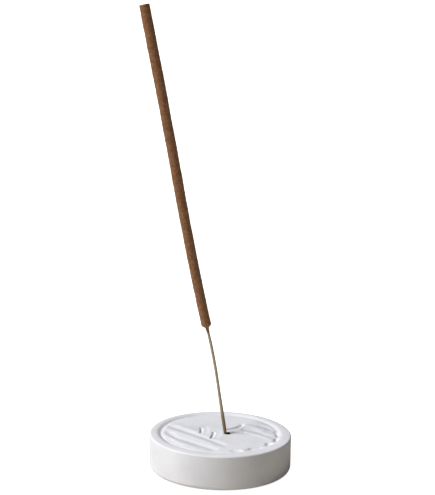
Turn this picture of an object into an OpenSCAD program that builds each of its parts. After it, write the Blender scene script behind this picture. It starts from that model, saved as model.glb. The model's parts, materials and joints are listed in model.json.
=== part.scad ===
// Round cast incense holder with a raked relief, and the incense stick that stands in its hole.
// The origin is on the holder's axis, on the plane that it stands on, with +Z up.

/* [Holder] */
// Outside diameter of the cast disc
holder_d = 76; // [66:1:92]
// Height from the table to the top of the rim
holder_h = 19.5; // [17:0.5:24]
// Rounding along the bottom edge
bottom_edge_r = 2.6; // [1:0.1:4]
// Rounding along both edges of the rim
rim_edge_r = 0.9; // [0.3:0.1:1.2]
// Width of the plain rim round the top
rim_w = 5.2; // [4:0.1:6.4]

/* [Relief] */
// Width of the ring groove inside the rim
groove_w = 2.2; // [1.5:0.1:3]
// Depth of the ring groove under the rim
groove_depth = 1; // [0.9:0.1:2]
// How far the relief's ground lies under the rim
ground_drop = 0.6; // [0.5:0.1:0.9]
// Direction that the ridges run in, from +X
ridge_turn = -47; // [-60:1:-30]
// Width of a ridge where it meets the ground
ridge_w = 5.6; // [4:0.1:6.4]
// How far a ridge stands above the ground
ridge_rise = 0.5; // [0.4:0.1:0.8]
// Width of the short creases pressed into the relief
crease_w = 1.4; // [1:0.1:2.4]
// Depth of the short creases
crease_depth = 0.7; // [0.5:0.1:1.4]
// How far the groove and the relief sit to the right of the holder's axis
relief_x = -0.5; // [-1.5:0.1:1.5]
// How far the groove and the relief sit behind the holder's axis
relief_y = 1.7; // [-1.8:0.1:1.8]

/* [Hole] */
// Diameter of the hole that the stick stands in
hole_d = 3.25; // [2.7:0.05:4.5]
// Depth of the hole below the relief's ground
hole_depth = 10; // [7:0.5:12]
// How far the hole is to the right of the holder's axis
hole_x = 3.4; // [-6:0.1:6]
// How far the hole is behind the holder's axis
hole_y = 1.6; // [-6:0.1:6]

/* [Base pad] */
// Width of the flat ring that stays bare round the felt's pocket
land_w = 5.2; // [2:0.1:8]
// Thickness of the felt
felt_t = 1.5; // [1:0.1:2.5]
// Thickness of the felt's adhesive film
film_t = 0.2; // [0.1:0.05:0.4]
// How far the felt stands out of its pocket
felt_proud = 0.5; // [0.3:0.1:1]

/* [Incense stick] */
// Diameter of the bamboo splint
splint_d = 1.5; // [1.2:0.05:1.8]
// Diameter of the rolled incense paste
paste_d = 5.3; // [3:0.1:6]
// Length of the stick that carries paste
paste_len = 175.5; // [120:0.5:200]
// Length of bare splint between the hole's mouth and the paste
bare_len = 57; // [30:1:80]
// How far the bare splint has bent between the hole and the paste
bow_angle = 2.6; // [0.5:0.1:6]
// Direction that the stick leans towards, from +X
lean_turn = 180; // [0:1:359]

/* [Hidden] */

ceramic_white = [0.90, 0.90, 0.92];
felt_grey = [0.62, 0.60, 0.57];
film_clear = [0.86, 0.84, 0.78];
bamboo_tan = [0.72, 0.60, 0.42];
paste_brown = [0.42, 0.29, 0.20];

eps = 0.01;
round_fn = 120;

// Heights and radii of the holder
holder_r = holder_d / 2;
body_z = felt_proud;
ground_z = holder_h - ground_drop;
groove_z = holder_h - groove_depth;
groove_outer_r = holder_r - rim_w;
panel_r = groove_outer_r - groove_w;
hole_floor_z = ground_z - hole_depth;

// Base pad: the pocket is as deep as the part of the pad that stays inside the casting
pocket_clear = 0.4;
pocket_d = holder_d - 2 * (bottom_edge_r + land_w);
pocket_depth = felt_t + film_t - felt_proud;
felt_d = pocket_d - pocket_clear;

// A ridge is the cap of a lying cylinder, so its radius follows from its width and its rise
ridge_r = (ridge_w * ridge_w / 4 + ridge_rise * ridge_rise) / (2 * ridge_rise);
ridge_axis_z = ground_z + ridge_rise - ridge_r;
// [distance from the middle, start, end] of each ridge, as shares of the panel's radius
ridges = [
    [-0.80, -0.50, 0.40],
    [-0.50, -0.84, 0.74],
    [-0.22, -0.92, 0.56],
    [0.44, 0.30, 0.84],
    [0.70, -0.06, 0.60],
];
// Ridges stop short of the panel's edge by this much
ridge_margin = 0.3;

// [x, y, direction, length] of each crease: places are shares of the panel's radius
creases = [
    [-0.30, 0.14, 90, 9],
    [-0.08, -0.10, 86, 9],
    [0.34, 0.37, 50, 9],
];
crease_r = (crease_w * crease_w / 4 + crease_depth * crease_depth) / (2 * crease_depth);
crease_axis_z = ground_z - crease_depth + crease_r;
// Directions of the round dimples along the panel's edge, and their size
dimple_turns = [-52, -35, -16, 3];
dimple_r = 1.6;
dimple_z = ground_z + 0.2;

// The stick leans until it meets the hole's lip on one side and its wall on the other,
// so its lean follows from the hole and its axis crosses the hole's axis halfway down
splint_r = splint_d / 2;
paste_r = paste_d / 2;
seat_gap = 0.05;
lean_gap = 0.05;
free_w = hole_d - 2 * lean_gap;
first_lean = atan((free_w - splint_d) / hole_depth);
foot_lean = atan((free_w - splint_d / cos(first_lean)) / hole_depth);
foot_end_z = hole_floor_z + seat_gap + splint_r * sin(foot_lean);
foot_len = (ground_z - foot_end_z) / cos(foot_lean);
foot_shift = (ground_z - hole_depth / 2 - foot_end_z) * tan(foot_lean);
paste_lean = foot_lean + bow_angle;
bow_r = bare_len / (bow_angle * PI / 180);
splint_len = foot_len + bare_len + paste_len;
splint_sides = 24;
bow_steps = 8;

// The paste: its lower end is rolled down onto the splint, and its top is cut square
bond_gap = 0.01;
lip_r = splint_r + 0.15;
neck_len = 3;
neck_r = splint_r + 0.65;
shoulder_len = 1.2;
tip_edge = 0.25;

// Half section of a disc of height h and radius r, with its lower and upper edges rounded
module disc_section(h, r, r_low, r_high) {
    union() {
        translate([0, r_low]) square([r, h - r_low - r_high]);
        square([r - r_low, r_low + eps]);
        translate([0, h - r_high - eps]) square([r - r_high, r_high + eps]);
        intersection() {
            translate([r - r_low, r_low]) circle(r = r_low, $fn = 64);
            square([r, r_low + eps]);
        }
        intersection() {
            translate([r - r_high, h - r_high]) circle(r = r_high, $fn = 64);
            translate([0, h - r_high - eps]) square([r, r_high + eps]);
        }
    }
}

// Cast blank: a disc with a round bottom edge and a softened rim
module blank() {
    translate([0, 0, body_z])
        rotate_extrude($fn = round_fn)
            disc_section(holder_h - body_z, holder_r, bottom_edge_r, rim_edge_r);
}

// Ring groove and the lowered ground of the relief
module recess() {
    translate([0, 0, ground_z])
        cylinder(r = groove_outer_r, h = ground_drop + 1, $fn = round_fn);
    difference() {
        translate([0, 0, groove_z])
            cylinder(r = groove_outer_r, h = groove_depth + 1, $fn = round_fn);
        translate([0, 0, groove_z - 1])
            cylinder(r = panel_r, h = groove_depth + 3, $fn = round_fn);
    }
}

// Half the length that a ridge may have at a distance from the middle
function half_chord(off) = sqrt(pow(panel_r - ridge_margin - ridge_w / 2, 2) - off * off);

module ridge(row, from, to) {
    off = row * panel_r;
    start = max(from * panel_r, -half_chord(off));
    end = min(to * panel_r, half_chord(off));
    rotate([0, 0, ridge_turn])
        translate([start, off, ridge_axis_z]) {
            sphere(r = ridge_r, $fn = 64);
            rotate([0, 90, 0]) cylinder(r = ridge_r, h = end - start, $fn = 64);
            translate([end - start, 0, 0]) sphere(r = ridge_r, $fn = 64);
        }
}

module crease(x, y, turn, length) {
    translate([x * panel_r, y * panel_r, crease_axis_z])
        rotate([0, 0, turn])
            rotate([0, 90, 0]) cylinder(r = crease_r, h = length, center = true, $fn = 48);
}

// The mould's relief is set a little off the disc's axis
module at_relief() {
    translate([relief_x, relief_y, 0]) children();
}

module holder_body() {
    color(ceramic_white)
        difference() {
            union() {
                difference() {
                    blank();
                    at_relief() recess();
                }
                at_relief() for (r = ridges) ridge(r[0], r[1], r[2]);
            }
            at_relief() for (c = creases) crease(c[0], c[1], c[2], c[3]);
            at_relief()
                for (turn = dimple_turns)
                    rotate([0, 0, turn]) translate([panel_r - dimple_r, 0, dimple_z])
                        sphere(r = dimple_r, $fn = 48);
            translate([hole_x, hole_y, hole_floor_z])
                cylinder(d = hole_d, h = hole_depth + ground_drop + 1, $fn = 64);
            translate([0, 0, body_z - 1])
                cylinder(d = pocket_d, h = pocket_depth + 1, $fn = round_fn);
        }
}

module base_felt() {
    color(felt_grey) cylinder(d = felt_d, h = felt_t, $fn = round_fn);
}

module felt_adhesive() {
    color(film_clear)
        translate([0, 0, felt_t]) cylinder(d = felt_d, h = film_t, $fn = round_fn);
}

// Stands its children on the splint's foot, with +X the way that the stick leans
module at_foot() {
    translate([hole_x, hole_y, foot_end_z])
        rotate([0, 0, lean_turn])
            translate([-foot_shift, 0, 0]) children();
}

// The splint is straight in the hole, bows over its bare length and is straight in the paste:
// its lean, and its place [across, up], at a length s from the foot
function lean_at(s) = foot_lean + bow_angle * min(max((s - foot_len) / bare_len, 0), 1);
function place_at(s) =
    let (low = min(s, foot_len), high = max(s - foot_len - bare_len, 0), lean = lean_at(s))
    [
        low * sin(foot_lean) + bow_r * (cos(foot_lean) - cos(lean)) + high * sin(lean),
        low * cos(foot_lean) + bow_r * (sin(lean) - sin(foot_lean)) + high * cos(lean)
    ];

function ring_at(s) =
    let (place = place_at(s), lean = lean_at(s))
    [for (k = [0:splint_sides - 1])
        let (turn = 360 * k / splint_sides)
        [
            place[0] + splint_r * cos(turn) * cos(lean),
            splint_r * sin(turn),
            place[1] - splint_r * cos(turn) * sin(lean)
        ]];

// Two triangles between corner k of ring i and its neighbours
function wall_pair(i, k) =
    let (
        next = (k + 1) % splint_sides,
        a = i * splint_sides + k,
        b = i * splint_sides + next,
        c = a + splint_sides,
        d = b + splint_sides
    )
    [[a, c, b], [b, c, d]];

module bamboo_splint() {
    stations = concat(
        [0],
        [for (i = [0:bow_steps]) foot_len + bare_len * i / bow_steps],
        [splint_len]
    );
    last = (len(stations) - 1) * splint_sides;
    color(bamboo_tan)
        at_foot()
            polyhedron(
                points = [for (s = stations) each ring_at(s)],
                faces = concat(
                    [[for (k = [0:splint_sides - 1]) k]],
                    [for (i = [0:len(stations) - 2]) for (k = [0:splint_sides - 1])
                        each wall_pair(i, k)],
                    [[for (k = [splint_sides - 1:-1:0]) last + k]]
                )
            );
}

module incense_paste() {
    start = place_at(foot_len + bare_len);
    color(paste_brown)
        at_foot()
            translate([start[0], 0, start[1]])
                rotate([0, paste_lean, 0])
                    rotate_extrude($fn = 64)
                        polygon([
                            [splint_r + bond_gap, 0],
                            [lip_r, 0],
                            [neck_r, neck_len],
                            [paste_r, neck_len + shoulder_len],
                            [paste_r, paste_len - tip_edge],
                            [paste_r - tip_edge, paste_len],
                            [splint_r + bond_gap, paste_len],
                        ]);
}

holder_body();
base_felt();
felt_adhesive();
bamboo_splint();
incense_paste();
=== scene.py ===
# %% [markdown]
# # An incense holder and its stick
# A round white casting holds one hand-rolled incense stick. The design, with every size that fits, is
# already made, so this lesson loads it as a fixed frame and builds the finished pieces in its place.

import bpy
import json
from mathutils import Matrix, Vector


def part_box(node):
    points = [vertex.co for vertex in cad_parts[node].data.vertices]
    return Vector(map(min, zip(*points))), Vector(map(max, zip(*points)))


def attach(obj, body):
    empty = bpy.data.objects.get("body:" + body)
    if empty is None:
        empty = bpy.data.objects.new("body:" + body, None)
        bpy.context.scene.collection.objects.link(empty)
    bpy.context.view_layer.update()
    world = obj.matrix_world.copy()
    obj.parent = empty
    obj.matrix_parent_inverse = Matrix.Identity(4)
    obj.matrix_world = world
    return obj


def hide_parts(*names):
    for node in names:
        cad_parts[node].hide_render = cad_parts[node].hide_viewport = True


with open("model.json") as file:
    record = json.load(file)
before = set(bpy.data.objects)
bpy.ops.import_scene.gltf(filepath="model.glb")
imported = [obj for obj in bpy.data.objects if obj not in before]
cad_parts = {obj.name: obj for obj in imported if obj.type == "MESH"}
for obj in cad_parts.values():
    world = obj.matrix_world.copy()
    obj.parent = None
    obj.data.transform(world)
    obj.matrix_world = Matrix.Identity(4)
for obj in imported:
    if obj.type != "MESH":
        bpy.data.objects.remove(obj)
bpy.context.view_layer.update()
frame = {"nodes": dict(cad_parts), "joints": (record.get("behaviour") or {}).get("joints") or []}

# %% [markdown]
# Lengths below are written in millimetres, as on a drawing, and turned into Blender's metres by `MM`.
# Places come from the frame: the box of each node, and the direction that the stick slides in.

# %% Measure the frame
import json
import math

import bmesh
import bpy
from mathutils import Matrix, Vector

MM = 0.001
body_low, body_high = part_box("holder_body")
felt_low, felt_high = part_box("base_felt")
splint_low, splint_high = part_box("bamboo_splint")
disc_r = (body_high.x - body_low.x) / 2
rim_z = body_high.z
base_z = body_low.z
stick_axis = Vector(frame["joints"][0]["axis"]).normalized()
foot_lean = math.atan2(-stick_axis.x, stick_axis.z)
print(f"disc radius {disc_r / MM:.2f} mm, rim at {rim_z / MM:.2f} mm")
print(f"the stick's foot leans {math.degrees(foot_lean):.2f} degrees")

# %% [markdown]
# The camera comes first, because it decides how much detail each piece needs. It looks down on the
# holder from a little under 20 degrees with a long lens, and it is rolled slightly, as if hand held.

# %% Camera
CAMERA_DISTANCE = 900 * MM
CAMERA_HEIGHT_ANGLE = math.radians(19.87)
CAMERA_PITCH = math.radians(12.33)
CAMERA_YAW = math.radians(-0.26)
CAMERA_ROLL = math.radians(1.30)
CAMERA_LENS = 120.3


def camera_turn(yaw, pitch, roll):
    """The camera's own axes as a rotation: it looks forward, its right side rolled down."""
    forward = Vector((math.sin(yaw) * math.cos(pitch), math.cos(yaw) * math.cos(pitch), -math.sin(pitch)))
    level = forward.cross(Vector((0, 0, 1))).normalized()
    upright = level.cross(forward)
    right = level * math.cos(roll) + upright * math.sin(roll)
    up = upright * math.cos(roll) - level * math.sin(roll)
    return Matrix((right, up, -forward)).transposed()


bpy.ops.object.select_all(action="DESELECT")
bpy.ops.object.camera_add(
    location=(
        0,
        -CAMERA_DISTANCE * math.cos(CAMERA_HEIGHT_ANGLE),
        base_z + CAMERA_DISTANCE * math.sin(CAMERA_HEIGHT_ANGLE),
    )
)
camera = bpy.context.object
camera.name = "camera"
camera.rotation_euler = camera_turn(CAMERA_YAW, CAMERA_PITCH, CAMERA_ROLL).to_euler()
camera.data.lens = CAMERA_LENS
camera.data.clip_end = 100
bpy.context.scene.camera = camera
print("camera at", [round(v, 3) for v in camera.location])

# %% [markdown]
# A few helpers stand for what the hand does in edit mode. `start_edit` opens a piece, `pick` selects
# faces, edges or corners by their place, and `settle` puts the piece's place into its mesh.

# %% Editing helpers
def start_edit(piece, kind="FACE"):
    """Opens one piece in edit mode, with nothing selected."""
    bpy.ops.object.select_all(action="DESELECT")
    piece.select_set(True)
    bpy.context.view_layer.objects.active = piece
    bpy.ops.object.mode_set(mode="EDIT")
    bpy.ops.mesh.select_mode(type=kind)
    bpy.ops.mesh.select_all(action="DESELECT")


def end_edit():
    bpy.ops.object.mode_set(mode="OBJECT")


def middle(part):
    """The middle of a corner, an edge or a face."""
    if isinstance(part, bmesh.types.BMVert):
        return part.co
    return sum((corner.co for corner in part.verts), Vector()) / len(part.verts)


def pick(piece, kind, test):
    """Selects the shown faces, edges or corners for which test says yes, and counts them."""
    bpy.ops.mesh.select_mode(type=kind)
    bpy.ops.mesh.select_all(action="DESELECT")
    mesh = bmesh.from_edit_mesh(piece.data)
    parts = {"FACE": mesh.faces, "EDGE": mesh.edges, "VERT": mesh.verts}[kind]
    chosen = [part for part in parts if not part.hide and test(part)]
    for part in chosen:
        part.select_set(True)
    mesh.select_flush_mode()
    bmesh.update_edit_mesh(piece.data)
    return len(chosen)


def settle(piece, name):
    """Names the piece and leaves its object at the origin, with its place in its mesh."""
    bpy.ops.object.select_all(action="DESELECT")
    piece.select_set(True)
    bpy.context.view_layer.objects.active = piece
    bpy.ops.object.transform_apply(location=True, rotation=True, scale=True)
    piece.name = name
    piece.data.name = name


def apply_modifiers(piece):
    bpy.ops.object.select_all(action="DESELECT")
    piece.select_set(True)
    bpy.context.view_layer.objects.active = piece
    for modifier in list(piece.modifiers):
        bpy.ops.object.modifier_apply(modifier=modifier.name)


def reach_from(place, centre):
    """How far a place is from an upright axis through centre."""
    return math.hypot(place.x - centre[0], place.y - centre[1])


def on_ring(z, radius, centre=(0, 0), slack=0.05 * MM):
    """A test for edges that run round the axis through centre at this height and radius."""
    def test(edge):
        return all(
            abs(corner.co.z - z) < slack and abs(reach_from(corner.co, centre) - radius) < slack
            for corner in edge.verts
        )
    return test


# %% [markdown]
# ## The casting
# The real one is poured into a soft mould, so every edge is a little round and the top carries a raked
# relief inside a ring groove. A turned shape like this could be spun from a profile. Here it is made
# from a cylinder by insets and extrusions, because each step can be read off the drawing.

# %% Casting sizes
ROUND_SIDES = 288
RIM_W = 4.6 * MM
GROOVE_W = 3.2 * MM
GROOVE_DEPTH = 1.0 * MM
OUTER_SLOPE = 1.6 * MM
INNER_SLOPE = 1.0 * MM
GROUND_DROP = 0.6 * MM
BOTTOM_ROUND = 2.6 * MM
RIM_ROUND = 0.9 * MM
LAND_W = 5.2 * MM
FILM_T = 0.2 * MM
GROOVE_LIP_ROUND = 0.9 * MM
GROOVE_FOOT_ROUND = 0.25 * MM
PANEL_ROUND = 0.5 * MM
POCKET_ROUND = 0.3 * MM
RELIEF_AT = (-0.5 * MM, 1.7 * MM)

groove_outer_r = disc_r - RIM_W
panel_r = groove_outer_r - GROOVE_W
ground_z = rim_z - GROUND_DROP
groove_z = rim_z - GROOVE_DEPTH
pocket_r = disc_r - BOTTOM_ROUND - LAND_W
pocket_z = felt_high.z + FILM_T
print(f"panel radius {panel_r / MM:.2f} mm, pocket radius {pocket_r / MM:.2f} mm")


def shrink(radius, new_radius):
    """Scales what is selected about the relief's own axis."""
    share = new_radius / radius
    bpy.ops.transform.resize(value=(share, share, 1), center_override=(*RELIEF_AT, 0))


# %% [markdown]
# The blank is a cylinder. Its top is inset, pressed down into the groove and raised again to the relief's
# ground, and its base is inset and pressed up into the felt's pocket. The relief and the groove sit a
# little off the disc's centre, so they scale about an axis of their own.

# %% Casting blank with its groove and its pocket
bpy.ops.object.select_all(action="DESELECT")
bpy.ops.mesh.primitive_cylinder_add(
    vertices=ROUND_SIDES, radius=disc_r, depth=rim_z - base_z, location=(0, 0, (rim_z + base_z) / 2)
)
casting = bpy.context.object
settle(casting, "cast_holder")

start_edit(casting)
pick(casting, "FACE", lambda face: face.normal.z > 0.9)
bpy.ops.mesh.inset(thickness=RIM_W)
bpy.ops.transform.translate(value=(*RELIEF_AT, 0))
bpy.ops.mesh.extrude_region_move(TRANSFORM_OT_translate={"value": (0, 0, -GROOVE_DEPTH)})
shrink(groove_outer_r, groove_outer_r - OUTER_SLOPE)
bpy.ops.mesh.inset(thickness=GROOVE_W - OUTER_SLOPE - INNER_SLOPE)
bpy.ops.mesh.extrude_region_move(TRANSFORM_OT_translate={"value": (0, 0, GROOVE_DEPTH - GROUND_DROP)})
shrink(panel_r + INNER_SLOPE, panel_r)
pick(casting, "FACE", lambda face: face.normal.z < -0.9)
bpy.ops.mesh.inset(thickness=disc_r - pocket_r)
bpy.ops.mesh.extrude_region_move(TRANSFORM_OT_translate={"value": (0, 0, pocket_z - base_z)})
print("blank:", len(bmesh.from_edit_mesh(casting.data).faces), "faces")

# %% [markdown]
# Each edge gets its own rounding: generous under the disc, soft at the rim and in the groove, where the
# mould's silicone had to let go.

# %% Rounded edges
ROUNDINGS = [
    (base_z, disc_r, (0, 0), BOTTOM_ROUND, 12),
    (rim_z, disc_r, (0, 0), RIM_ROUND, 6),
    (rim_z, groove_outer_r, RELIEF_AT, GROOVE_LIP_ROUND, 5),
    (groove_z, groove_outer_r - OUTER_SLOPE, RELIEF_AT, GROOVE_FOOT_ROUND, 3),
    (groove_z, panel_r + INNER_SLOPE, RELIEF_AT, GROOVE_FOOT_ROUND, 3),
    (ground_z, panel_r, RELIEF_AT, PANEL_ROUND, 4),
    (base_z, pocket_r, (0, 0), POCKET_ROUND, 3),
]
for z, radius, centre, rounding, steps in ROUNDINGS:
    found = pick(casting, "EDGE", on_ring(z, radius, centre))
    bpy.ops.mesh.bevel(offset=rounding, segments=steps, profile=0.5, affect="EDGES")
    print(f"edge at z {z / MM:.1f} mm, radius {radius / MM:.1f} mm: {found} sides rounded")

# %% [markdown]
# The relief's ground needs a fine mesh to be sculpted in, so its face is inset again and again, which
# leaves a ring every 0.3 mm and keeps the mesh in order.

# %% Fine rings on the panel
RING_STEP = 0.3 * MM
INNERMOST_RING_R = 1.6 * MM


def is_panel(face):
    """The one flat face, with as many sides as the disc, that is the relief's ground."""
    if len(face.verts) != ROUND_SIDES:
        return False
    return face.normal.z > 0.9 and abs(middle(face).z - ground_z) < 0.05 * MM


pick(casting, "FACE", is_panel)
rings = int((panel_r - INNERMOST_RING_R) / RING_STEP)
for ring in range(rings):
    bpy.ops.mesh.inset(thickness=RING_STEP)
bpy.ops.mesh.poke()
print(rings, "rings on the panel")
end_edit()

# %% [markdown]
# The raked relief is sculpted with proportional editing: the corners along a stroke are picked, then
# lifted or pressed, and their neighbours follow with a soft falloff. Strokes are lists of points in
# shares of the panel's radius, x to the right and y away from the viewer, joined by a smooth curve.
# A sharp stroke picks a thinner row of corners than a soft one, and its falloff is round and steep.

# %% Strokes
SOFT_STROKE_HALF_W = 0.42 * MM
SHARP_STROKE_HALF_W = 0.24 * MM


def smooth_path(points, steps=14):
    """Points along a soft curve through the given ones."""
    ends = [points[0] * 2 - points[1]] + points + [points[-1] * 2 - points[-2]]
    path = []
    for i in range(1, len(ends) - 2):
        a, b, c, d = ends[i - 1:i + 3]
        for step in range(steps):
            t = step / steps
            path.append(0.5 * (2 * b + (c - a) * t + (2 * a - 5 * b + 4 * c - d) * t * t
                               + (3 * b - a - 3 * c + d) * t ** 3))
    return path + [points[-1]]


def near_path(path, reach):
    """A test for corners that lie within reach of the path, seen from above."""
    def test(corner):
        flat = Vector((corner.co.x, corner.co.y))
        for start, end in zip(path, path[1:]):
            along = end - start
            share = max(0, min(1, (flat - start).dot(along) / along.length_squared))
            if (flat - start - along * share).length < reach:
                return True
        return False
    return test


def sculpt(piece, shares, rise, spread, sharp):
    """Lifts the ground along a stroke by rise, with a shoulder as wide as spread, sharp or soft."""
    path = smooth_path([Vector(share) * panel_r + Vector(RELIEF_AT) for share in shares])
    found = pick(piece, "VERT", near_path(path, SHARP_STROKE_HALF_W if sharp else SOFT_STROKE_HALF_W))
    bpy.ops.transform.translate(
        value=(0, 0, rise),
        use_proportional_edit=True,
        proportional_edit_falloff="SPHERE" if sharp else "SMOOTH",
        proportional_size=spread,
    )
    return found


# %% [markdown]
# Rakes are the wide troughs that leave ridges between them. Swells are the ridges' rounded backs, cuts
# are the short sharp creases, and bridges fill the ring groove here and there on its right side. Hollows
# are the deep pits between the bridges. Each row is a stroke, how far it lifts and how wide it spreads,
# both in millimetres. Only the panel and the groove's inner part are shown to the strokes, so the rim
# stays true.

# %% Relief strokes
RAKES = [
    ([(-0.86, 0.32), (-0.62, 0.10), (-0.40, -0.12), (-0.18, -0.35), (0.05, -0.60)], -0.50, 2.7),
    ([(-0.90, -0.04), (-0.77, -0.28), (-0.54, -0.47), (-0.29, -0.70), (-0.08, -0.90)], -0.55, 2.8),
    ([(-0.88, -0.44), (-0.80, -0.60), (-0.68, -0.73)], -0.40, 2.3),
    ([(0.46, 0.24), (0.60, 0.18), (0.72, 0.05), (0.86, -0.08)], -0.50, 2.5),
    ([(0.74, 0.44), (0.86, 0.36), (0.94, 0.24)], -0.40, 2.6),
    ([(-0.26, 0.30), (-0.25, 0.14), (-0.26, -0.02)], -0.28, 2.3),
    ([(-0.03, 0.06), (-0.04, -0.10), (-0.07, -0.27)], -0.28, 2.3),
]
SWELLS = [
    ([(-0.92, 0.16), (-0.67, -0.09), (-0.42, -0.32), (-0.21, -0.51), (0.01, -0.76)], 0.34, 3.0),
    ([(-0.90, -0.22), (-0.78, -0.43), (-0.55, -0.69), (-0.40, -0.82)], 0.30, 2.7),
    ([(-0.84, 0.46), (-0.65, 0.28), (-0.43, 0.06)], 0.18, 2.9),
    ([(0.46, 0.44), (0.60, 0.38), (0.77, 0.22)], 0.36, 3.0),
    ([(0.56, 0.02), (0.73, -0.10), (0.88, -0.28)], 0.34, 2.8),
    ([(0.35, 0.17), (0.37, 0.16)], 0.30, 2.2),
    ([(-0.12, -0.71), (-0.10, -0.74)], 0.25, 2.0),
]
CUTS = [
    ([(-0.33, 0.27), (-0.32, 0.14), (-0.33, -0.01)], -0.85, 0.7),
    ([(-0.10, 0.04), (-0.11, -0.10), (-0.14, -0.26)], -0.85, 0.7),
    ([(0.17, 0.23), (0.31, 0.34), (0.41, 0.49)], -1.30, 1.0),
    ([(0.19, 0.02), (0.31, 0.06), (0.45, 0.06)], -1.10, 0.8),
]
BRIDGES = [
    ([(1.04, -0.19), (1.06, -0.20)], 0.45, 1.8),
    ([(0.95, -0.46), (0.97, -0.47)], 0.45, 2.2),
    ([(0.77, -0.73), (0.79, -0.75)], 0.45, 2.2),
    ([(0.43, -0.91), (0.44, -0.95)], 0.60, 2.4),
]
HOLLOWS = [
    ([(1.01, 0.11), (1.04, 0.02), (1.05, -0.07)], -1.00, 1.4),
    ([(1.02, -0.29), (1.03, -0.32)], -1.40, 1.9),
    ([(0.87, -0.53), (0.90, -0.55)], -1.50, 1.9),
    ([(0.56, -0.80), (0.72, -0.75)], -1.20, 1.6),
    ([(0.27, -0.93), (0.32, -0.93)], -0.45, 2.2),
]
SHARP = (CUTS, HOLLOWS)


def may_be_carved(face):
    """The panel and the groove, up to the rounding of the groove's outer lip."""
    place = middle(face)
    in_height = groove_z - 0.1 * MM < place.z < ground_z + 0.1 * MM
    in_reach = reach_from(place, RELIEF_AT) < groove_outer_r - GROOVE_LIP_ROUND
    return face.normal.z > 0.3 and in_height and in_reach


start_edit(casting, "VERT")
pick(casting, "FACE", may_be_carved)
bpy.ops.mesh.hide(unselected=True)
for strokes in (RAKES, SWELLS, BRIDGES, CUTS, HOLLOWS):
    for shares, rise, spread in strokes:
        sharp = strokes in SHARP
        found = sculpt(casting, shares, rise * MM, spread * MM, sharp)
    print(len(strokes), "strokes, the last one over", found, "corners")
bpy.ops.mesh.select_mode(type="VERT")
bpy.ops.mesh.select_all(action="SELECT")
bpy.ops.mesh.vertices_smooth(factor=0.5, repeat=3)
bpy.ops.mesh.reveal(select=False)
end_edit()
print("relief carved, and smoothed three times")

# %% [markdown]
# The stick's hole is bored into the relief. Its centre is read off the frame: it is the middle of the
# flat floor at the bottom of the hole. The cutter is a cylinder whose top flares a little, so the hole's
# lip is worn round instead of sharp. Each flare is a rise in millimetres and a growth.

# %% Stick hole
HOLE_R = 1.625 * MM
HOLE_DEPTH = 10.0 * MM
LIP_DEPTH = 0.5 * MM
LIP_FLARES = ((0.25, 1.06), (0.25, 1.10), (0.30, 1.12), (1.5, 1.3))

hole_floor_z = ground_z - HOLE_DEPTH
floor_corners = [
    corner.co for corner in frame["nodes"]["holder_body"].data.vertices
    if abs(corner.co.z - hole_floor_z) < 0.02 * MM and math.hypot(corner.co.x, corner.co.y) < disc_r / 3
]
hole_x = (min(c.x for c in floor_corners) + max(c.x for c in floor_corners)) / 2
hole_y = (min(c.y for c in floor_corners) + max(c.y for c in floor_corners)) / 2
print(f"hole centre at {hole_x / MM:.2f}, {hole_y / MM:.2f} mm")

bpy.ops.object.select_all(action="DESELECT")
bpy.ops.mesh.primitive_cylinder_add(
    vertices=48,
    radius=HOLE_R,
    depth=HOLE_DEPTH - LIP_DEPTH,
    location=(hole_x, hole_y, hole_floor_z + (HOLE_DEPTH - LIP_DEPTH) / 2),
)
cutter = bpy.context.object
settle(cutter, "hole_cutter")
start_edit(cutter)
pick(cutter, "FACE", lambda face: face.normal.z > 0.9)
for rise, flare in LIP_FLARES:
    bpy.ops.mesh.extrude_region_move(TRANSFORM_OT_translate={"value": (0, 0, rise * MM)})
    bpy.ops.transform.resize(value=(flare, flare, 1), center_override=(hole_x, hole_y, 0))
end_edit()

bore = casting.modifiers.new("stick hole", "BOOLEAN")
bore.operation = "DIFFERENCE"
bore.solver = "EXACT"
bore.object = cutter
apply_modifiers(casting)
bpy.data.objects.remove(cutter)
bpy.ops.object.shade_smooth_by_angle(angle=math.radians(50))
print("casting:", len(casting.data.polygons), "faces")

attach(casting, "holder")
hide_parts("holder_body")

# %% [markdown]
# ## The bamboo splint
# Split bamboo is never quite round: it is shaved from a culm, so long flat facets run its whole length.
# A jittered polygon is extruded out of the hole, spun through the slight bow of the bare length and
# extruded again through the paste, which keeps each facet unbroken from foot to tip.

# %% Splint
SPLINT_R = 0.75 * MM
SPLINT_SIDES = 16
SHAVED_SHARE = 0.95
FACET_JITTER = 0.07 * MM
BOW_STEPS = 24
CORE_STEPS = 90
BARE_LEN = 57 * MM
PASTE_LEN = 175.5 * MM
BOW = math.radians(2.6)
SEAT_GAP = 0.05 * MM

hole_middle = Vector((hole_x, hole_y, ground_z - HOLE_DEPTH / 2))
foot_z = hole_floor_z + SEAT_GAP + SPLINT_R * math.sin(foot_lean)
foot = hole_middle + stick_axis * ((foot_z - hole_middle.z) / stick_axis.z)
mouth = hole_middle + stick_axis * ((ground_z - hole_middle.z) / stick_axis.z)
towards_lean = Vector((-math.cos(foot_lean), 0, -math.sin(foot_lean)))
bow_centre = mouth + towards_lean * (BARE_LEN / BOW)
paste_lean = foot_lean + BOW
paste_axis = Vector((-math.sin(paste_lean), 0, math.cos(paste_lean)))
paste_foot = bow_centre + Vector((math.cos(paste_lean), 0, math.sin(paste_lean))) * (BARE_LEN / BOW)
paste_tip = paste_foot + paste_axis * PASTE_LEN

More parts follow.
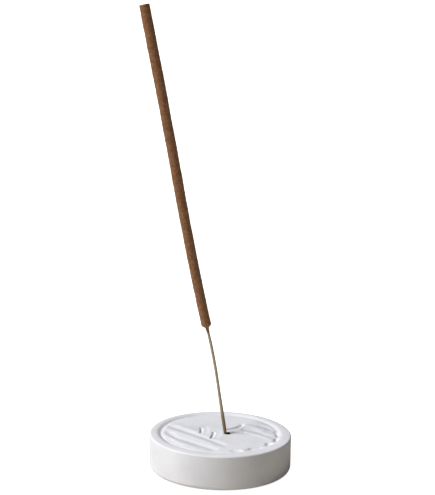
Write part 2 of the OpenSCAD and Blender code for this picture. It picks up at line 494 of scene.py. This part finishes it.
bpy.ops.object.select_all(action="DESELECT")
bpy.ops.mesh.primitive_circle_add(
    vertices=SPLINT_SIDES,
    radius=SPLINT_R * SHAVED_SHARE,
    fill_type="NGON",
    location=foot,
    rotation=(0, -foot_lean, 0),
)
splint = bpy.context.object
settle(splint, "bamboo_stick")
start_edit(splint)
bpy.ops.mesh.select_all(action="SELECT")
bpy.ops.transform.vertex_random(offset=FACET_JITTER, uniform=0, normal=0, seed=4)
for share in (0.5, 0.5):
    step = stick_axis * ((mouth - foot).length * share)
    bpy.ops.mesh.extrude_region_move(TRANSFORM_OT_translate={"value": step})
bpy.ops.mesh.spin(steps=BOW_STEPS, angle=BOW, center=bow_centre, axis=(0, 1, 0))
for step in range(CORE_STEPS):
    bpy.ops.mesh.extrude_region_move(TRANSFORM_OT_translate={"value": paste_axis * (PASTE_LEN / CORE_STEPS)})
bpy.ops.mesh.select_all(action="SELECT")
bpy.ops.mesh.remove_doubles(threshold=0.002 * MM)
bpy.ops.mesh.normals_make_consistent(inside=False)
end_edit()
bpy.ops.object.shade_smooth_by_angle(angle=math.radians(32))
made_low = Vector([min(corner.co[i] for corner in splint.data.vertices) for i in range(3)])
made_high = Vector([max(corner.co[i] for corner in splint.data.vertices) for i in range(3)])
print("splint against the frame's, mm:", [round(v / MM, 2) for v in made_low - splint_low],
      [round(v / MM, 2) for v in made_high - splint_high])

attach(splint, "incense_stick")
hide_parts("bamboo_splint")

# %% [markdown]
# Split bamboo also tapers. The part that stands in the hole was shaved thin, so from just above the hole
# the splint is thickened by a displace modifier without a texture. Its full weight lasts to 14 mm above
# the hole's mouth, and then falls evenly to the weight that the upper part keeps.

# %% Thicker bare length
THICKENING = 0.17 * MM
THIN_ABOVE_MOUTH = 2 * MM
THIN_BELOW_PASTE = 3 * MM
FULL_UP_TO = 14 * MM
FADE_OVER = 16 * MM
UPPER_WEIGHT = 0.4

bare = splint.vertex_groups.new(name="bare length")
for corner in splint.data.vertices:
    above = corner.co.z - mouth.z
    if above > THIN_ABOVE_MOUTH and corner.co.z < paste_foot.z - THIN_BELOW_PASTE:
        weight = (FULL_UP_TO + FADE_OVER - above) / FADE_OVER
        bare.add([corner.index], max(UPPER_WEIGHT, min(1, weight)), "REPLACE")
thicken = splint.modifiers.new("thicker bare length", "DISPLACE")
thicken.vertex_group = bare.name
thicken.strength = THICKENING
thicken.mid_level = 0
apply_modifiers(splint)
print(f"bare splint up to {2 * THICKENING / MM:.2f} mm thicker near its foot")

# %% [markdown]
# ## The incense paste
# Powder, resin and honey are rolled on by hand, so the coating is lumpy at two scales: slow swellings
# from the fingers and a coarse grain from the powder. It is made upright, where its rings are level,
# roughened with three displace modifiers, and only then leaned over onto the splint. The neck's rows
# are heights and radii in millimetres.

# %% Paste blank
PASTE_SIDES = 64
BORE_R = 0.72 * MM
NECK = [(0.0, 0.82), (1.0, 0.87), (2.0, 0.98), (2.8, 1.25), (3.2, 1.80), (3.6, 2.30), (4.4, 2.67)]
TIP_GROWTH = 1.035
TIP_EDGE = 0.3 * MM
TIP_EDGE_SHARE = 0.94
TIP_RING_STEP = 0.3 * MM
TIP_RINGS = 4
COAT_RINGS = 480

bpy.ops.object.select_all(action="DESELECT")
bpy.ops.mesh.primitive_circle_add(vertices=PASTE_SIDES, radius=NECK[0][1] * MM, fill_type="NGON")
paste = bpy.context.object
settle(paste, "paste_coat")
start_edit(paste)
bpy.ops.mesh.select_all(action="SELECT")
for (z_before, r_before), (z_after, r_after) in zip(NECK, NECK[1:]):
    for half in range(2):
        bpy.ops.mesh.extrude_region_move(
            TRANSFORM_OT_translate={"value": (0, 0, (z_after - z_before) / 2 * MM)}
        )
        grow = (r_after / r_before) ** 0.5
        bpy.ops.transform.resize(value=(grow, grow, 1), center_override=(0, 0, 0))
coat_step = (PASTE_LEN - NECK[-1][0] * MM - TIP_EDGE) / COAT_RINGS
for ring in range(COAT_RINGS):
    bpy.ops.mesh.extrude_region_move(TRANSFORM_OT_translate={"value": (0, 0, coat_step)})
    grow = TIP_GROWTH ** (1 / COAT_RINGS)
    bpy.ops.transform.resize(value=(grow, grow, 1), center_override=(0, 0, 0))
bpy.ops.mesh.extrude_region_move(TRANSFORM_OT_translate={"value": (0, 0, TIP_EDGE)})
bpy.ops.transform.resize(value=(TIP_EDGE_SHARE, TIP_EDGE_SHARE, 1), center_override=(0, 0, 0))
tip_r = NECK[-1][1] * MM * TIP_GROWTH * TIP_EDGE_SHARE
for ring in range(TIP_RINGS):
    bpy.ops.mesh.inset(thickness=TIP_RING_STEP)
bpy.ops.mesh.inset(thickness=tip_r - TIP_RINGS * TIP_RING_STEP - BORE_R)
bpy.ops.mesh.delete(type="FACE")
pick(paste, "FACE", lambda face: len(face.verts) == PASTE_SIDES)
bpy.ops.mesh.inset(thickness=NECK[0][1] * MM - BORE_R)
bpy.ops.mesh.delete(type="FACE")
pick(paste, "EDGE", lambda edge: edge.is_boundary)
bpy.ops.mesh.bridge_edge_loops()
bpy.ops.mesh.select_all(action="SELECT")
bpy.ops.mesh.normals_make_consistent(inside=False)
end_edit()
print("paste:", len(paste.data.polygons), "faces")

# %% [markdown]
# A displace modifier moves each corner along its normal by a cloudy texture. A middle level of a half
# moves the surface both ways, and a level of 1 only lets it sink. A vertex group keeps the bore out of
# it, so the paste still sits on its splint.

# %% Rolled and grainy surface
def roughen(piece, name, size, strength, group, mid_level=0.5, detail=2):
    """Displaces the group's surface with a cloudy texture of that grain size."""
    texture = bpy.data.textures.new(name, "CLOUDS")
    texture.noise_scale = size
    texture.noise_depth = detail
    modifier = piece.modifiers.new(name, "DISPLACE")
    modifier.texture = texture
    modifier.texture_coords = "LOCAL"
    modifier.strength = strength
    modifier.mid_level = mid_level
    modifier.vertex_group = group.name


skin = paste.vertex_groups.new(name="skin")
outside = [v.index for v in paste.data.vertices if reach_from(v.co, (0, 0)) > BORE_R * 1.15]
skin.add(outside, 1.0, "ADD")
roughen(paste, "finger swellings", 9 * MM, 0.30 * MM, skin)
roughen(paste, "rolled lumps", 1.6 * MM, 0.22 * MM, skin)
roughen(paste, "powder grain", 0.5 * MM, 0.14 * MM, skin)
apply_modifiers(paste)
print(len(outside), "corners roughened")

paste.rotation_euler = (0, -paste_lean, 0)
paste.location = paste_foot
settle(paste, "paste_coat")
bpy.ops.object.shade_smooth_by_angle(angle=math.radians(60))

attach(paste, "incense_stick")
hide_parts("incense_paste")

# %% [markdown]
# No stick that is rolled by hand is quite straight. Two soft pushes, made on the splint and its paste
# together so that they stay on one axis, give it a slight sway to the right and then to the left.

# %% Sway
BARE_PUSH = (mouth.z + 43 * MM, 0.5 * MM, 30 * MM)
PASTE_PUSH = (paste_foot.z + 49 * MM, -0.7 * MM, 80 * MM)


def push(pieces, height, shift, spread, slack=1.3 * MM):
    """Pushes the slice of the pieces at one height to the right, and lets the rest follow softly."""
    bpy.ops.object.select_all(action="DESELECT")
    for piece in pieces:
        piece.select_set(True)
    bpy.context.view_layer.objects.active = pieces[0]
    bpy.ops.object.mode_set(mode="EDIT")
    bpy.ops.mesh.select_mode(type="VERT")
    bpy.ops.mesh.select_all(action="DESELECT")
    found = 0
    for piece in pieces:
        mesh = bmesh.from_edit_mesh(piece.data)
        for corner in mesh.verts:
            corner.select_set(abs(corner.co.z - height) < slack)
            found += corner.select
        mesh.select_flush_mode()
        bmesh.update_edit_mesh(piece.data)
    bpy.ops.transform.translate(
        value=(shift, 0, 0),
        use_proportional_edit=True,
        proportional_edit_falloff="SMOOTH",
        proportional_size=spread,
    )
    bpy.ops.object.mode_set(mode="OBJECT")
    print(f"pushed {found} corners at {height / MM:.0f} mm by {shift / MM:.1f} mm")


push([splint, paste], *BARE_PUSH)
push([splint, paste], *PASTE_PUSH)

# %% [markdown]
# ## The felt disc
# The felt is punched from a sheet: flat faces, a slightly fuzzy cut edge and a nap that is never even.
# Only its open side and its edge get the nap, and the nap only sinks in, so no fibre dips into the table.

# %% Felt
FELT_SIDES = 160
FELT_EDGE_ROUND = 0.35 * MM
FELT_RING_STEP = 0.8 * MM
GLUED_SIDE = 0.1 * MM
NAP_SIZE = 1.2 * MM
NAP_DEPTH = 0.08 * MM

felt_r = (felt_high.x - felt_low.x) / 2
bpy.ops.object.select_all(action="DESELECT")
bpy.ops.mesh.primitive_cylinder_add(
    vertices=FELT_SIDES,
    radius=felt_r,
    depth=felt_high.z - felt_low.z,
    location=(0, 0, (felt_high.z + felt_low.z) / 2),
)
felt = bpy.context.object
settle(felt, "felt_disc")
start_edit(felt)
pick(felt, "EDGE", on_ring(felt_low.z, felt_r))
bpy.ops.mesh.bevel(offset=FELT_EDGE_ROUND, segments=3, affect="EDGES")
pick(felt, "FACE", lambda face: abs(face.normal.z) > 0.99)
for ring in range(int(felt_r / FELT_RING_STEP) - 1):
    bpy.ops.mesh.inset(thickness=FELT_RING_STEP)
bpy.ops.mesh.poke()
end_edit()
nap = felt.vertex_groups.new(name="nap")
nap.add([v.index for v in felt.data.vertices if v.co.z < felt_high.z - GLUED_SIDE], 1.0, "ADD")
roughen(felt, "felt nap", NAP_SIZE, NAP_DEPTH, nap, mid_level=1.0, detail=3)
apply_modifiers(felt)
bpy.ops.object.shade_smooth_by_angle(angle=math.radians(50))
lowest = min(v.co.z for v in felt.data.vertices)
print(f"felt: {len(felt.data.polygons)} faces, lowest fibre at {lowest / MM:.3f} mm")

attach(felt, "holder")
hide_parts("base_felt")

# %% [markdown]
# ## Finishes
# Every finish reads Object coordinates, so its pattern keeps its true size and stays put on the piece.
# Grain is used by all of them, so it is one node group with its own inputs: a vector and how many coarse
# and fine specks lie in a metre. It puts out a soft mask and a fine height.

# %% Grain group
def add_node(tree, kind, place, **settings):
    node = tree.nodes.new(kind)
    node.location = place
    for name, value in settings.items():
        setattr(node, name, value)
    return node


def make_grain_group():
    """A group that turns a position into a coarse mask and a fine height, both from 0 to 1."""
    group = bpy.data.node_groups.new("grain", "ShaderNodeTree")
    group.interface.new_socket("Vector", in_out="INPUT", socket_type="NodeSocketVector")
    group.interface.new_socket("Coarse", in_out="INPUT", socket_type="NodeSocketFloat")
    group.interface.new_socket("Fine", in_out="INPUT", socket_type="NodeSocketFloat")
    group.interface.new_socket("Mask", in_out="OUTPUT", socket_type="NodeSocketFloat")
    group.interface.new_socket("Height", in_out="OUTPUT", socket_type="NodeSocketFloat")
    inputs = add_node(group, "NodeGroupInput", (-600, 0))
    outputs = add_node(group, "NodeGroupOutput", (400, 0))
    coarse = add_node(group, "ShaderNodeTexNoise", (-300, 150))
    coarse.inputs["Detail"].default_value = 5
    coarse.inputs["Roughness"].default_value = 0.6
    fine = add_node(group, "ShaderNodeTexNoise", (-300, -150))
    fine.inputs["Detail"].default_value = 8
    fine.inputs["Roughness"].default_value = 0.7
    group.links.new(inputs.outputs["Vector"], coarse.inputs["Vector"])
    group.links.new(inputs.outputs["Coarse"], coarse.inputs["Scale"])
    group.links.new(inputs.outputs["Vector"], fine.inputs["Vector"])
    group.links.new(inputs.outputs["Fine"], fine.inputs["Scale"])
    group.links.new(coarse.outputs["Fac"], outputs.inputs["Mask"])
    group.links.new(fine.outputs["Fac"], outputs.inputs["Height"])
    return group


grain_group = make_grain_group()
print("grain group puts out", [socket.name for socket in grain_group.interface.items_tree
                               if socket.in_out == "OUTPUT"])

# %% [markdown]
# Each finish starts the same way: a Principled shader, a Mapping node that can turn and stretch the
# pattern, and the grain. Grain sizes are in specks per metre, because Object coordinates are in metres.

# %% Start of a finish
def start_finish(name, turn=(0, 0, 0), stretch=(1, 1, 1), coarse=100, fine=1000):
    """A new material with a Principled shader, mapped Object coordinates and the grain group."""
    finish = bpy.data.materials.new(name)
    finish.use_nodes = True
    tree = finish.node_tree
    shader = tree.nodes["Principled BSDF"]
    where = add_node(tree, "ShaderNodeTexCoord", (-1500, 0))
    mapping = add_node(tree, "ShaderNodeMapping", (-1300, 0), vector_type="POINT")
    mapping.inputs["Rotation"].default_value = turn
    mapping.inputs["Scale"].default_value = stretch
    grain = add_node(tree, "ShaderNodeGroup", (-1000, 0), node_tree=grain_group)
    grain.inputs["Coarse"].default_value = coarse
    grain.inputs["Fine"].default_value = fine
    tree.links.new(where.outputs["Object"], mapping.inputs["Vector"])
    tree.links.new(mapping.outputs["Vector"], grain.inputs["Vector"])
    return finish, tree, shader, mapping, grain


# %% [markdown]
# Three small helpers make what the finishes share: a ramp of colours along the mask, a value moved from
# one range to another, and a bump that can be laid over an earlier one.

# %% Ramps and bumps
def colour_ramp(tree, place, source, stops):
    """Colours along a value: stops are (position, linear colour)."""
    ramp = add_node(tree, "ShaderNodeValToRGB", place)
    first, last = ramp.color_ramp.elements
    first.position, first.color = stops[0][0], (*stops[0][1], 1)
    last.position, last.color = stops[-1][0], (*stops[-1][1], 1)
    for position, colour in stops[1:-1]:
        ramp.color_ramp.elements.new(position).color = (*colour, 1)
    tree.links.new(source, ramp.inputs["Fac"])
    return ramp


def value_range(tree, place, source, low, high, to_low, to_high):
    """Maps a value from one range to another, and keeps it there."""
    node = add_node(tree, "ShaderNodeMapRange", place, clamp=True)
    for name, value in (("From Min", low), ("From Max", high), ("To Min", to_low), ("To Max", to_high)):
        node.inputs[name].default_value = value
    tree.links.new(source, node.inputs["Value"])
    return node


def bump(tree, place, height, distance, strength, normal=None):
    node = add_node(tree, "ShaderNodeBump", place)
    node.inputs["Distance"].default_value = distance
    node.inputs["Strength"].default_value = strength
    tree.links.new(height, node.inputs["Height"])
    if normal is not None:
        tree.links.new(normal, node.inputs["Normal"])
    return node


# %% [markdown]
# The casting is matte and almost white. Its life is in small things: slow cloudy tone from uneven
# drying, a fine tooth that kills the gloss, scattered pinholes where air sat against the mould, and a
# dark brown patch painted in and round the hole, which is painted shade for the hole's dark opening.

# %% Cast finish
# Painted shade of the hole: the patch's radius, soft edge, shift to the right and dark brown colour.
HOLE_SHADE_R = 2.1 * MM
HOLE_SHADE_FADE = 0.2 * MM
HOLE_SHADE_SHIFT = 0.5 * MM
HOLE_SHADE_BROWN = (0.045, 0.024, 0.020, 1)
PINHOLES_PER_M = 420


def make_cast_finish():
    finish, tree, shader, mapping, grain = start_finish("cast white", coarse=60, fine=2600)
    tone = colour_ramp(tree, (-700, 300), grain.outputs["Mask"], [
        (0.30, (0.66, 0.661, 0.688)),
        (0.50, (0.72, 0.721, 0.744)),
        (0.70, (0.76, 0.757, 0.775)),
    ])
    # Painted shade: a dark brown disc round the hole, shifted to its right, darkens the hole and its lip.
    offset = add_node(tree, "ShaderNodeVectorMath", (-1000, 600), operation="SUBTRACT")
    offset.inputs[1].default_value = (hole_x + HOLE_SHADE_SHIFT, hole_y, 0)
    flat = add_node(tree, "ShaderNodeVectorMath", (-850, 600), operation="MULTIPLY")
    flat.inputs[1].default_value = (1, 1, 0)
    away = add_node(tree, "ShaderNodeVectorMath", (-700, 600), operation="LENGTH")
    tree.links.new(mapping.outputs["Vector"], offset.inputs[0])
    tree.links.new(offset.outputs["Vector"], flat.inputs[0])
    tree.links.new(flat.outputs["Vector"], away.inputs[0])
    inner, outer = HOLE_SHADE_R - HOLE_SHADE_FADE, HOLE_SHADE_R + HOLE_SHADE_FADE
    hole_shade = value_range(tree, (-500, 600), away.outputs["Value"], inner, outer, 1, 0)
    blend = add_node(tree, "ShaderNodeMix", (-350, 400), data_type="RGBA")
    blend.inputs[7].default_value = HOLE_SHADE_BROWN
    tree.links.new(hole_shade.outputs["Result"], blend.inputs[0])
    tree.links.new(tone.outputs["Color"], blend.inputs[6])
    tree.links.new(blend.outputs[2], shader.inputs["Base Color"])
    gloss = value_range(tree, (-700, 0), grain.outputs["Mask"], 0.3, 0.7, 0.74, 0.62)
    tree.links.new(gloss.outputs["Result"], shader.inputs["Roughness"])
    cells = add_node(tree, "ShaderNodeTexVoronoi", (-1000, -350), feature="F1")
    cells.inputs["Scale"].default_value = PINHOLES_PER_M
    tree.links.new(mapping.outputs["Vector"], cells.inputs["Vector"])
    pinholes = value_range(tree, (-700, -350), cells.outputs["Distance"], 0.06, 0.13, 0.0, 1.0)
    tooth = bump(tree, (-400, -200), grain.outputs["Height"], 0.06 * MM, 0.45)
    dimples = bump(tree, (-200, -350), pinholes.outputs["Result"], 0.12 * MM, 0.5, tooth.outputs["Normal"])
    tree.links.new(dimples.outputs["Normal"], shader.inputs["Normal"])
    shader.inputs["Specular IOR Level"].default_value = 0.35
    return finish


# %% [markdown]
# Bamboo fibres run the length of the splint, so its pattern is turned to lean with the stick and then
# squeezed along it, which draws every speck of noise out into a streak. Near the hole the wood is stained
# more golden, and its colour is also darkened there as painted shade for the shaded side of its foot.

# %% Bamboo finish
def make_bamboo_finish():
    finish, tree, shader, mapping, grain = start_finish(
        "raw bamboo", turn=(0, (foot_lean + paste_lean) / 2, 0), stretch=(1, 1, 0.03), coarse=1500, fine=6000
    )
    tone = colour_ramp(tree, (-700, 300), grain.outputs["Mask"], [
        (0.25, (0.21, 0.155, 0.10)),
        (0.50, (0.38, 0.305, 0.21)),
        (0.75, (0.52, 0.44, 0.325)),
    ])
    # Painted shade with a stain: up to 16 mm above the mouth the splint is made darker and more golden.
    where = add_node(tree, "ShaderNodeTexCoord", (-1100, 700))
    height = add_node(tree, "ShaderNodeSeparateXYZ", (-900, 700))
    tree.links.new(where.outputs["Object"], height.inputs["Vector"])
    base_stain_and_shade = value_range(tree, (-700, 600), height.outputs["Z"], mouth.z + 5 * MM, mouth.z + 16 * MM, 0.9, 0)
    blend = add_node(tree, "ShaderNodeMix", (-350, 400), data_type="RGBA")
    blend.inputs[7].default_value = (0.20, 0.125, 0.045, 1)
    tree.links.new(base_stain_and_shade.outputs["Result"], blend.inputs[0])
    tree.links.new(tone.outputs["Color"], blend.inputs[6])
    tree.links.new(blend.outputs[2], shader.inputs["Base Color"])
    gloss = value_range(tree, (-700, 0), grain.outputs["Mask"], 0.3, 0.7, 0.70, 0.50)
    tree.links.new(gloss.outputs["Result"], shader.inputs["Roughness"])
    fibres = bump(tree, (-400, -200), grain.outputs["Height"], 0.06 * MM, 0.8)
    tree.links.new(fibres.outputs["Normal"], shader.inputs["Normal"])
    shader.inputs["Specular IOR Level"].default_value = 0.4
    return finish


# %% [markdown]
# The paste is a dry brown crumb. Its colour moves between dark resin and pale dust of sandalwood, and
# the finest crumbs are bump on top of the modelled lumps.

# %% Paste finish
def make_paste_finish():
    finish, tree, shader, mapping, grain = start_finish("dry incense paste", coarse=700, fine=5200)
    base = colour_ramp(tree, (-700, 300), grain.outputs["Mask"], [
        (0.32, (0.125, 0.040, 0.007)),
        (0.50, (0.228, 0.082, 0.016)),
        (0.70, (0.310, 0.135, 0.042)),
    ])
    dust = value_range(tree, (-700, 80), grain.outputs["Height"], 0.56, 0.72, 0.0, 0.6)
    blend = add_node(tree, "ShaderNodeMix", (-350, 250), data_type="RGBA")
    blend.inputs[7].default_value = (0.40, 0.24, 0.115, 1)
    tree.links.new(dust.outputs["Result"], blend.inputs[0])
    tree.links.new(base.outputs["Color"], blend.inputs[6])
    tree.links.new(blend.outputs[2], shader.inputs["Base Color"])
    crumbs = bump(tree, (-400, -200), grain.outputs["Height"], 0.12 * MM, 0.9)
    tree.links.new(crumbs.outputs["Normal"], shader.inputs["Normal"])
    shader.inputs["Roughness"].default_value = 0.5
    shader.inputs["Specular IOR Level"].default_value = 0.8
    return finish


# %% [markdown]
# Pressed felt has no weave. Short fibres lie every way, so two stretched grains crossed at an angle
# stand for them, over a mottled grey-beige, with a little sheen from the fuzz.

# %% Felt and film finishes
def make_felt_finish():
    finish, tree, shader, mapping, grain = start_finish("pressed felt", coarse=350, fine=3200)
    tone = colour_ramp(tree, (-700, 300), grain.outputs["Mask"], [
        (0.30, (0.20, 0.185, 0.165)),
        (0.50, (0.29, 0.27, 0.245)),
        (0.72, (0.40, 0.38, 0.35)),
    ])
    tree.links.new(tone.outputs["Color"], shader.inputs["Base Color"])
    fibres = None
    for turn, stretch in ((0.6, (1, 0.12, 1)), (2.3, (1, 0.12, 1))):
        lay = add_node(tree, "ShaderNodeMapping", (-1300, -400 - 100 * turn))
        lay.inputs["Rotation"].default_value = (0, 0, turn)
        lay.inputs["Scale"].default_value = stretch
        tree.links.new(mapping.outputs["Vector"], lay.inputs["Vector"])
        strands = add_node(tree, "ShaderNodeTexNoise", (-1000, -400 - 100 * turn))
        strands.inputs["Scale"].default_value = 4000
        strands.inputs["Detail"].default_value = 3
        tree.links.new(lay.outputs["Vector"], strands.inputs["Vector"])
        before = fibres.outputs["Normal"] if fibres else None
        fibres = bump(tree, (-400, -300 * turn), strands.outputs["Fac"], 0.15 * MM, 0.8, before)
    tree.links.new(fibres.outputs["Normal"], shader.inputs["Normal"])
    shader.inputs["Roughness"].default_value = 0.95
    shader.inputs["Sheen Weight"].default_value = 0.35
    return finish


def make_film_finish():
    finish, tree, shader, mapping, grain = start_finish("adhesive film", coarse=120, fine=1800)
    tone = colour_ramp(tree, (-700, 300), grain.outputs["Mask"], [
        (0.35, (0.62, 0.58, 0.48)),
        (0.65, (0.72, 0.69, 0.60)),
    ])
    tree.links.new(tone.outputs["Color"], shader.inputs["Base Color"])
    gloss = value_range(tree, (-700, 0), grain.outputs["Height"], 0.3, 0.7, 0.25, 0.40)
    tree.links.new(gloss.outputs["Result"], shader.inputs["Roughness"])
    ripples = bump(tree, (-400, -200), grain.outputs["Mask"], 0.05 * MM, 0.4)
    tree.links.new(ripples.outputs["Normal"], shader.inputs["Normal"])
    return finish


# %% [markdown]
# A finish is made once and then put on its piece. The adhesive film keeps the frame's own mesh, so only
# what is in its material slot changes.

# %% Put the finishes on
def paint(piece, finish):
    piece.data.materials.clear()
    piece.data.materials.append(finish)
    print(piece.name, "wears", finish.name)


paint(casting, make_cast_finish())
paint(splint, make_bamboo_finish())
paint(paste, make_paste_finish())
paint(felt, make_felt_finish())
film = frame["nodes"]["felt_adhesive"]
film.material_slots[0].material = make_film_finish()
print(film.name, "wears", film.material_slots[0].material.name)

# %% [markdown]
# ## The set
# The holder stands on a wide pale floor. It looks brighter to the camera than to the object, as a floor
# does that is lit from well behind the object.

# %% Floor
FLOOR_SIZE = 60
FLOOR_GLOW = 0.97

bpy.ops.object.select_all(action="DESELECT")
bpy.ops.mesh.primitive_plane_add(size=FLOOR_SIZE, location=(0, 0, 0))
floor = bpy.context.object
settle(floor, "floor")
floor_finish = bpy.data.materials.new("pale floor")
floor_finish.use_nodes = True
floor_tree = floor_finish.node_tree
floor_shader = floor_tree.nodes["Principled BSDF"]
floor_shader.inputs["Base Color"].default_value = (0.69, 0.65, 0.57, 1)
floor_shader.inputs["Roughness"].default_value = 0.9
floor_shader.inputs["Specular IOR Level"].default_value = 0.1
floor_shader.inputs["Emission Color"].default_value = (1, 1, 1, 1)
seen = add_node(floor_tree, "ShaderNodeLightPath", (-600, -200))
glow = value_range(floor_tree, (-300, -200), seen.outputs["Is Camera Ray"], 0, 1, 0, FLOOR_GLOW)
floor_tree.links.new(glow.outputs["Result"], floor_shader.inputs["Emission Strength"])
floor.data.materials.append(floor_finish)
print("floor", FLOOR_SIZE, "m wide")

# %% [markdown]
# Soft daylight comes from the left. One broad sun lights every part of the piece from the same side with
# soft shadows, and the sky is a dim white fill that looks bright only to the camera.

# %% Light
KEY_FROM = Vector((-0.956, -0.292, 1.16)).normalized()
KEY_ENERGY = 4.12
KEY_SPREAD = math.radians(35)
SKY_FILL = 0.04
SKY_SEEN = 1.0

bpy.ops.object.select_all(action="DESELECT")
bpy.ops.object.light_add(type="SUN", location=KEY_FROM * 2)
key = bpy.context.object
key.name = "key light"
key.rotation_euler = KEY_FROM.to_track_quat("Z", "Y").to_euler()
key.data.energy = KEY_ENERGY
key.data.color = (0.975, 0.98, 1.0)
key.data.angle = KEY_SPREAD

sky = bpy.data.worlds.new("soft sky")
bpy.context.scene.world = sky
sky.use_nodes = True
backdrop = sky.node_tree.nodes["Background"]
backdrop.inputs["Color"].default_value = (1, 1, 1, 1)
sight = add_node(sky.node_tree, "ShaderNodeLightPath", (-600, 0))
brightness = value_range(sky.node_tree, (-300, 0), sight.outputs["Is Camera Ray"], 0, 1, SKY_FILL, SKY_SEEN)
sky.node_tree.links.new(brightness.outputs["Result"], backdrop.inputs["Strength"])
bpy.context.scene.view_settings.view_transform = "Standard"
print("key light from", [round(v, 2) for v in KEY_FROM])
